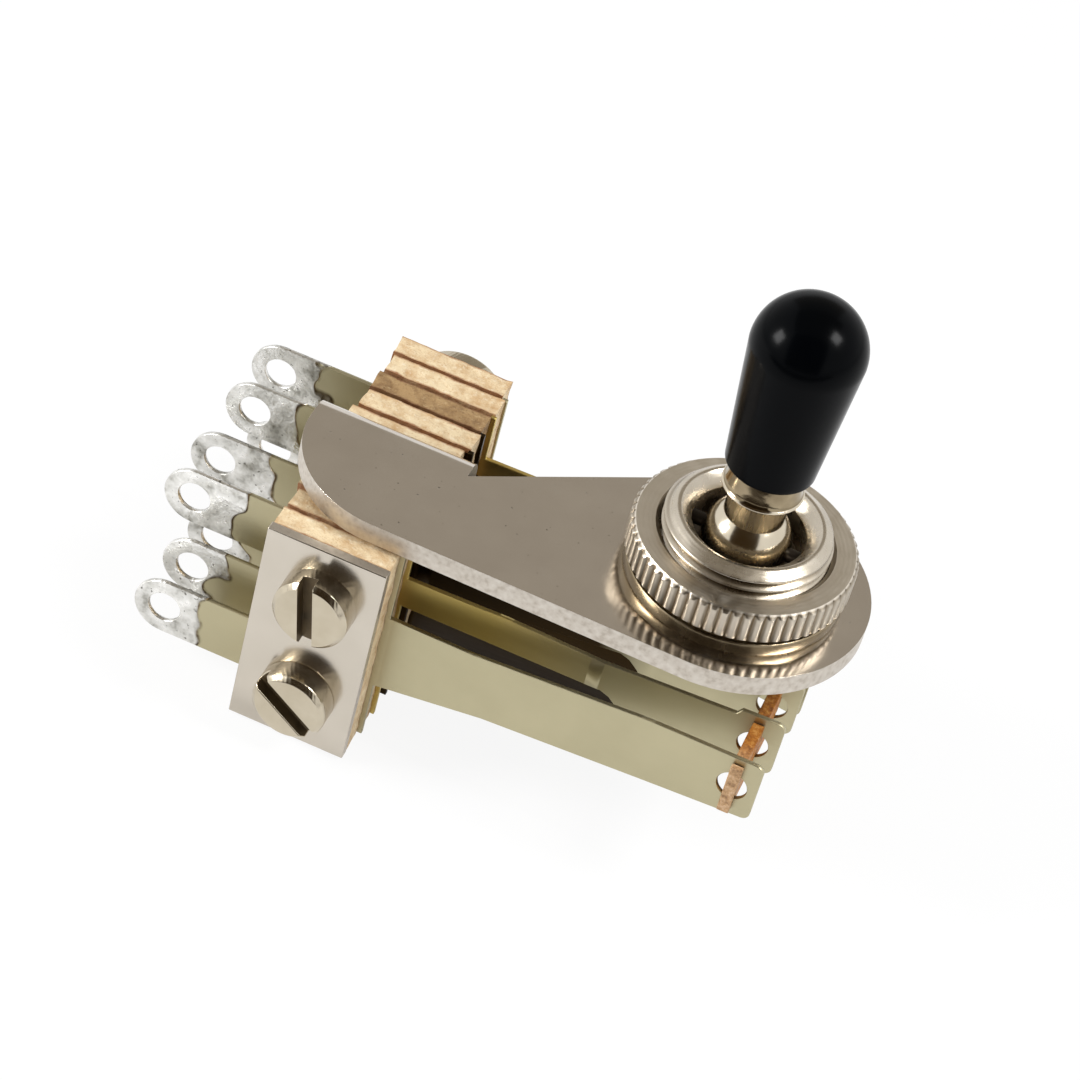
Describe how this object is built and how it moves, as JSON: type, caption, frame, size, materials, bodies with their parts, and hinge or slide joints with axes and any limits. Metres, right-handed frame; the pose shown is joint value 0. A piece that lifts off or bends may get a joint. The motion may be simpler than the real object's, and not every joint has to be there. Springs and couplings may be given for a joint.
{
  "type": "guitar pickup selector switch",
  "caption": "Right-angle lever switch with a threaded bushing, a knurled nut, a black tip and a clamped stack of leaf springs with solder lugs.",
  "frame": {"origin": "on the bushing axis, at the top face of the frame plate, where the panel sits", "axes": "+Z along the bushing towards the tip, +X along the leaves away from the clamped stack, -Y towards the pole with the screw heads"},
  "size_m": [0.0504, 0.0286, 0.0439],
  "materials": {
    "plated_frame": "nickel plated steel, smooth and mirror-like",
    "cover_steel": "satin plated steel",
    "bright_nickel": "bright nickel plate",
    "leaf_metal": "satin nickel silver spring sheet, solder lugs tinned",
    "contact_metal": "silver contact points",
    "tan_laminate": "fabric-filled laminate with a speckled sawn edge",
    "dark_laminate": "dark laminate with a mottled sawn edge",
    "sleeve_tube": "plain insulating tube",
    "lifter_laminate": "brown phenolic laminate",
    "black_tip": "glossy black moulding",
    "tail_nylon": "natural nylon"
  },
  "bodies": {
    "frame": {"bushing": "bright_nickel", "bushing_nut": "bright_nickel", "bushing_washer": "bright_nickel", "cover_plate": "cover_steel", "frame_plate": "plated_frame", "front_fixed_contact": "contact_metal", "front_inner_fixed_leaf": "leaf_metal", "front_inner_spring_leaf": "leaf_metal", "front_insulator_1": "tan_laminate", "front_insulator_2": "tan_laminate", "front_insulator_3": "tan_laminate", "front_insulator_4": "tan_laminate", "front_insulator_5": "tan_laminate", "front_middle_spring_leaf": "leaf_metal", "front_outer_spring_leaf": "leaf_metal", "front_spring_contact": "contact_metal", "lower_screw_sleeve": "sleeve_tube", "lower_stack_nut": "bright_nickel", "lower_stack_screw": "bright_nickel", "rear_fixed_contact": "contact_metal", "rear_inner_fixed_leaf": "leaf_metal", "rear_inner_spring_leaf": "leaf_metal", "rear_insulator_1": "tan_laminate", "rear_insulator_2": "tan_laminate", "rear_insulator_3": "dark_laminate", "rear_insulator_4": "tan_laminate", "rear_insulator_5": "tan_laminate", "rear_middle_spring_leaf": "leaf_metal", "rear_outer_spring_leaf": "leaf_metal", "rear_spring_contact": "contact_metal", "upper_screw_sleeve": "sleeve_tube", "upper_stack_nut": "bright_nickel", "upper_stack_screw": "bright_nickel"},
    "pivot": {"pivot_pin": "bright_nickel"},
    "lever": {"lever": "bright_nickel", "lever_tail_cap": "tail_nylon", "lever_tip": "black_tip"},
    "front_lifter": {"front_lifter": "lifter_laminate"},
    "rear_lifter": {"rear_lifter": "lifter_laminate"}
  },
  "joints": [
    {"name": "rear_throw", "type": "hinge", "parent": "frame", "child": "pivot", "pos_m": [0, 0, 0.0036], "axis": [1, 0, 0], "range_deg": [0, 11]},
    {"name": "front_throw", "type": "hinge", "parent": "pivot", "child": "lever", "pos_m": [0, 0, 0.0036], "axis": [1, 0, 0], "range_deg": [-11, 0]},
    {"name": "rear_lift", "type": "slide", "parent": "frame", "child": "rear_lifter", "axis": [0, 1, 0], "range_m": [0, 0.0026], "deforming": ["rear_inner_spring_leaf", "rear_middle_spring_leaf", "rear_outer_spring_leaf", "rear_spring_contact"]},
    {"name": "front_lift", "type": "slide", "parent": "frame", "child": "front_lifter", "axis": [0, -1, 0], "range_m": [0, 0.0026], "deforming": ["front_inner_spring_leaf", "front_middle_spring_leaf", "front_outer_spring_leaf", "front_spring_contact"]}
  ],
  "couplings": [
    {"joint": "rear_lift", "follows": "rear_throw", "m_per_rad": 0.013},
    {"joint": "front_lift", "follows": "front_throw", "m_per_rad": -0.013}
  ]
}
